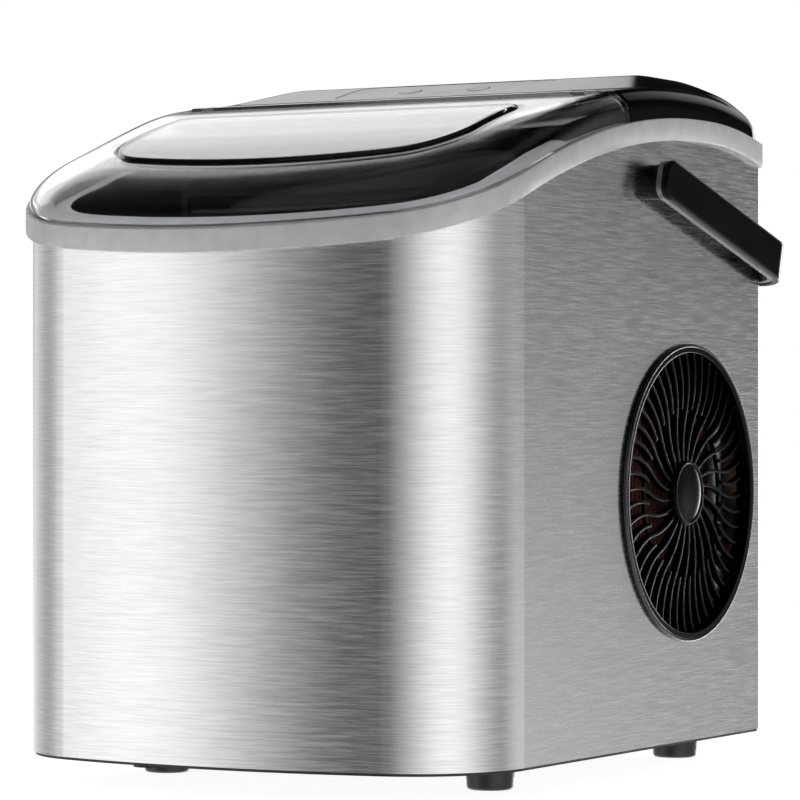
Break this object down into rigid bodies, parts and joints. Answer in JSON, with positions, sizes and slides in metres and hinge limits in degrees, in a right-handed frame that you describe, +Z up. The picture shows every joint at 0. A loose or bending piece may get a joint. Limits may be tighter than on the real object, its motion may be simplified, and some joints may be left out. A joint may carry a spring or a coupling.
{
  "type": "portable ice maker",
  "caption": "Countertop ice maker: brushed steel wrap, silver trim ring, hinged clear lid, carry handle and round swirl side grilles, with tray, basket, fan and compressor inside.",
  "frame": {"origin": "bottom centre of the bounding box, on the surface the feet stand on, midway between the front of the ring and the rear of the handle", "axes": "+X towards the object's right side seen from the front, +Y from the front to the rear, +Z up"},
  "size_m": [0.2458, 0.2938, 0.298],
  "materials": {
    "brushed_steel": "fine horizontal brushing, satin",
    "satin_silver": "satin silver paint",
    "gloss_black": "gloss",
    "satin_black": "satin",
    "matte_black": "matte",
    "clear_lid": "clear gloss plastic",
    "button_grey": "satin",
    "light_plastic": "satin",
    "foam": "matte cellular foam",
    "sheet_steel": "satin",
    "compressor_black": "semi-gloss",
    "copper": "dull copper",
    "fin_metal": "dark red-brown coat",
    "grey_line": "dull",
    "plated_metal": "bright plated",
    "rubber": "matte",
    "board_green": "satin",
    "white_plastic": "satin",
    "hose": "soft translucent"
  },
  "bodies": {
    "housing": {"base_pan": "matte_black", "board_standoffs": "white_plastic", "bulkhead": "sheet_steel", "capillary_tube": "copper", "compressor": "compressor_black", "compressor_bolts": "plated_metal", "compressor_grommets": "rubber", "condenser_brackets": "sheet_steel", "condenser_fins": "fin_metal", "condenser_tube": "copper", "control_panel": "satin_black", "cord_gland": "rubber", "deck": "satin_black", "discharge_line": "grey_line", "display_board": "board_green", "drain_spout": "white_plastic", "evaporator": "plated_metal", "fan_motor": "matte_black", "fan_shroud": "matte_black", "filter_drier": "copper", "foam_jacket": "foam", "foot_front_left": "rubber", "foot_front_right": "rubber", "foot_rear_left": "rubber", "foot_rear_right": "rubber", "foot_screws": "plated_metal", "handle_pivot_left": "gloss_black", "handle_pivot_right": "gloss_black", "hinge_pins": "plated_metal", "ice_sensor_emitter": "white_plastic", "ice_sensor_receiver": "white_plastic", "ice_unit_frame": "light_plastic", "liquid_line": "copper", "main_board": "board_green", "outer_shell": "brushed_steel", "pump_hose": "hose", "rear_cover": "gloss_black", "rear_panel": "sheet_steel", "rear_panel_screws": "matte_black", "side_grille_left": "gloss_black", "side_grille_right": "gloss_black", "suction_line": "copper", "terminal_cover": "matte_black", "tray_motor": "matte_black", "trim_ring": "satin_silver", "tub": "light_plastic", "water_pump": "white_plastic"},
    "lid": {"lid": "clear_lid"},
    "handle": {"handle_inner": "gloss_black", "handle_outer": "gloss_black"},
    "fan": {"fan_rotor": "matte_black", "fan_shaft": "plated_metal"},
    "power_button": {"power_button": "button_grey"},
    "size_button": {"size_button": "button_grey"},
    "tray": {"water_tray": "light_plastic"},
    "shovel": {"ice_shovel": "matte_black"},
    "basket": {"ice_basket": "light_plastic"},
    "plug": {"drain_plug": "rubber"}
  },
  "joints": [
    {"name": "lid_hinge", "type": "hinge", "parent": "housing", "child": "lid", "pos_m": [0, 0.00165, 0.28348], "axis": [-1, 0, 0], "range_deg": [0, 90]},
    {"name": "handle_swing", "type": "hinge", "parent": "housing", "child": "handle", "pos_m": [0, 0.02835, 0.2486], "axis": [1, 0, 0], "range_deg": [0, 105.5]},
    {"name": "fan_spin", "type": "hinge", "parent": "housing", "child": "fan", "pos_m": [0.07, 0.06935, 0.1182], "axis": [1, 0, 0], "continuous": true},
    {"name": "power_press", "type": "slide", "parent": "housing", "child": "power_button", "axis": [0, 0.25, -0.9682], "range_m": [0, 0.0008], "stiffness_N_per_m": 400, "springref_m": -0.001},
    {"name": "size_press", "type": "slide", "parent": "housing", "child": "size_button", "axis": [0, 0.25, -0.9682], "range_m": [0, 0.0008], "stiffness_N_per_m": 400, "springref_m": -0.001},
    {"name": "tray_tilt", "type": "hinge", "parent": "housing", "child": "tray", "pos_m": [0, -0.02235, 0.228], "axis": [1, 0, 0], "range_deg": [0, 45]},
    {"name": "shovel_swing", "type": "hinge", "parent": "housing", "child": "shovel", "pos_m": [0, -0.06235, 0.236], "axis": [1, 0, 0], "range_deg": [-30, 0]},
    {"name": "basket_lift", "type": "slide", "parent": "housing", "child": "basket", "axis": [0, 0, 1], "range_m": [0, 0.012]},
    {"name": "plug_pull", "type": "slide", "parent": "housing", "child": "plug", "axis": [0, 0, -1], "range_m": [0, 0.006]}
  ],
  "couplings": [
    {"joint": "shovel_swing", "follows": "tray_tilt", "ratio": -0.66}
  ]
}
